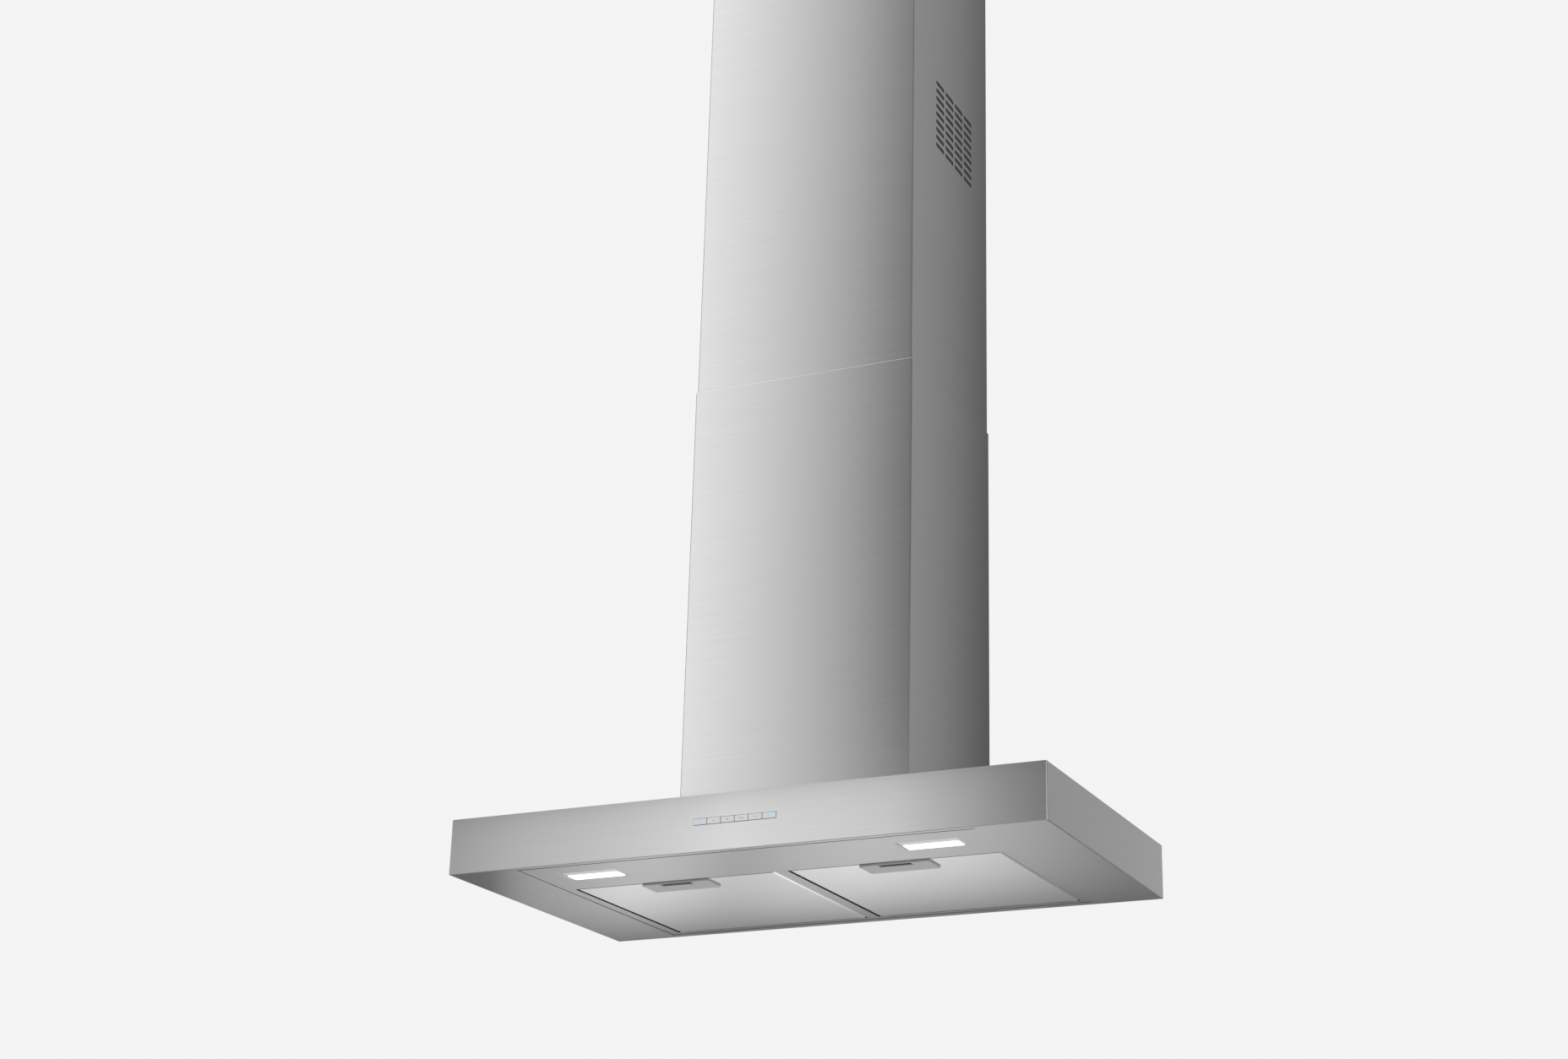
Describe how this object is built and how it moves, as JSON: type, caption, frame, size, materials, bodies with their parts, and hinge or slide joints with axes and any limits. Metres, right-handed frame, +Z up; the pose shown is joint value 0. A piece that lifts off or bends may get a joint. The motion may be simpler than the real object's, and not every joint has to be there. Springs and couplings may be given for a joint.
{
  "type": "chimney range hood",
  "caption": "Wall-mounted chimney range hood: flat steel canopy with lamps, hinged grease filters and push buttons under a telescopic chimney that hides a centrifugal fan.",
  "frame": {"origin": "middle of the canopy's back plate, on the face that lies against the wall, at half the canopy's height", "axes": "+X to the right along the wall as seen from the room, +Y into the wall, +Z up"},
  "size_m": [0.9, 0.501, 1.6264],
  "materials": {
    "brushed_steel": "fine horizontal brush lines",
    "filter_steel": "satin, finely perforated",
    "aluminium_mesh": "layered expanded mesh",
    "galvanised": "galvanised sheet",
    "latch_grey": "fine texture",
    "dark_plastic": "fine texture",
    "button_plastic": "glossy",
    "lamp_diffuser": "opal, lit",
    "circuit_board": "solder mask",
    "fan_plastic": "moulded",
    "motor_steel": "machined",
    "flap_plastic": "moulded"
  },
  "bodies": {
    "hood": {"canopy_shell": "brushed_steel", "back_plate": "galvanised", "lamp_strip": "brushed_steel", "filter_support": "brushed_steel", "lamp_bezel_left": "galvanised", "lamp_bezel_right": "galvanised", "lamp_lens_left": "lamp_diffuser", "lamp_lens_right": "lamp_diffuser", "lamp_board_left": "circuit_board", "lamp_board_right": "circuit_board", "button_carrier": "dark_plastic", "control_board": "circuit_board", "lamp_driver": "dark_plastic", "lower_chimney": "brushed_steel", "chimney_foot_left": "galvanised", "chimney_foot_right": "galvanised", "fan_chamber": "galvanised", "scroll_left": "fan_plastic", "scroll_right": "fan_plastic", "motor": "motor_steel", "motor_bracket": "motor_steel", "outlet_collar": "flap_plastic", "flap_pin": "motor_steel", "capacitor": "aluminium_mesh", "terminal_box": "dark_plastic", "terminal_cover": "dark_plastic", "cable_gland": "dark_plastic"},
    "upper_chimney": {"upper_chimney": "brushed_steel", "chimney_bracket": "galvanised", "bracket_screw_left": "motor_steel", "bracket_screw_right": "motor_steel"},
    "filter_left": {"filter_face_left": "filter_steel", "filter_rim_left": "galvanised", "filter_mesh_left": "aluminium_mesh", "latch_plate_left": "latch_grey"},
    "filter_right": {"filter_face_right": "filter_steel", "filter_rim_right": "galvanised", "filter_mesh_right": "aluminium_mesh", "latch_plate_right": "latch_grey"},
    "latch_left": {"latch_bolt_left": "dark_plastic"},
    "latch_right": {"latch_bolt_right": "dark_plastic"},
    "button_1": {"button_1": "button_plastic"},
    "button_2": {"button_2": "button_plastic"},
    "button_3": {"button_3": "button_plastic"},
    "button_4": {"button_4": "button_plastic"},
    "button_5": {"button_5": "button_plastic"},
    "button_6": {"button_6": "button_plastic"},
    "fan_wheel": {"impeller": "fan_plastic", "motor_shaft": "motor_steel"},
    "flap_front": {"flap_front": "flap_plastic"},
    "flap_rear": {"flap_rear": "flap_plastic"}
  },
  "joints": [
    {"name": "chimney_slide", "type": "slide", "parent": "hood", "child": "upper_chimney", "axis": [0, 0, 1], "range_m": [-0.6, 0.02]},
    {"name": "filter_left_hinge", "type": "hinge", "parent": "hood", "child": "filter_left", "pos_m": [-0.17, -0.025, -0.0385], "axis": [1, 0, 0], "range_deg": [0, 80]},
    {"name": "filter_right_hinge", "type": "hinge", "parent": "hood", "child": "filter_right", "pos_m": [0.17, -0.025, -0.0385], "axis": [1, 0, 0], "range_deg": [0, 80]},
    {"name": "latch_left_slide", "type": "slide", "parent": "filter_left", "child": "latch_left", "axis": [0, 1, 0], "range_m": [0, 0.004], "stiffness_N_per_m": 400, "springref_m": -0.004},
    {"name": "latch_right_slide", "type": "slide", "parent": "filter_right", "child": "latch_right", "axis": [0, 1, 0], "range_m": [0, 0.004], "stiffness_N_per_m": 400, "springref_m": -0.004},
    {"name": "button_1_press", "type": "slide", "parent": "hood", "child": "button_1", "axis": [0, 1, 0], "range_m": [0, 0.0015], "stiffness_N_per_m": 800, "springref_m": -0.0005},
    {"name": "button_2_press", "type": "slide", "parent": "hood", "child": "button_2", "axis": [0, 1, 0], "range_m": [0, 0.0015], "stiffness_N_per_m": 800, "springref_m": -0.0005},
    {"name": "button_3_press", "type": "slide", "parent": "hood", "child": "button_3", "axis": [0, 1, 0], "range_m": [0, 0.0015], "stiffness_N_per_m": 800, "springref_m": -0.0005},
    {"name": "button_4_press", "type": "slide", "parent": "hood", "child": "button_4", "axis": [0, 1, 0], "range_m": [0, 0.0015], "stiffness_N_per_m": 800, "springref_m": -0.0005},
    {"name": "button_5_press", "type": "slide", "parent": "hood", "child": "button_5", "axis": [0, 1, 0], "range_m": [0, 0.0015], "stiffness_N_per_m": 800, "springref_m": -0.0005},
    {"name": "button_6_press", "type": "slide", "parent": "hood", "child": "button_6", "axis": [0, 1, 0], "range_m": [0, 0.0015], "stiffness_N_per_m": 800, "springref_m": -0.0005},
    {"name": "fan_spin", "type": "hinge", "parent": "hood", "child": "fan_wheel", "pos_m": [0, -0.185, 0.1603], "axis": [1, 0, 0], "continuous": true},
    {"name": "flap_front_hinge", "type": "hinge", "parent": "hood", "child": "flap_front", "pos_m": [0, -0.1275, 0.3106], "axis": [1, 0, 0], "range_deg": [-70, 0]},
    {"name": "flap_rear_hinge", "type": "hinge", "parent": "hood", "child": "flap_rear", "pos_m": [0, -0.1275, 0.3106], "axis": [1, 0, 0], "range_deg": [0, 70]}
  ]
}
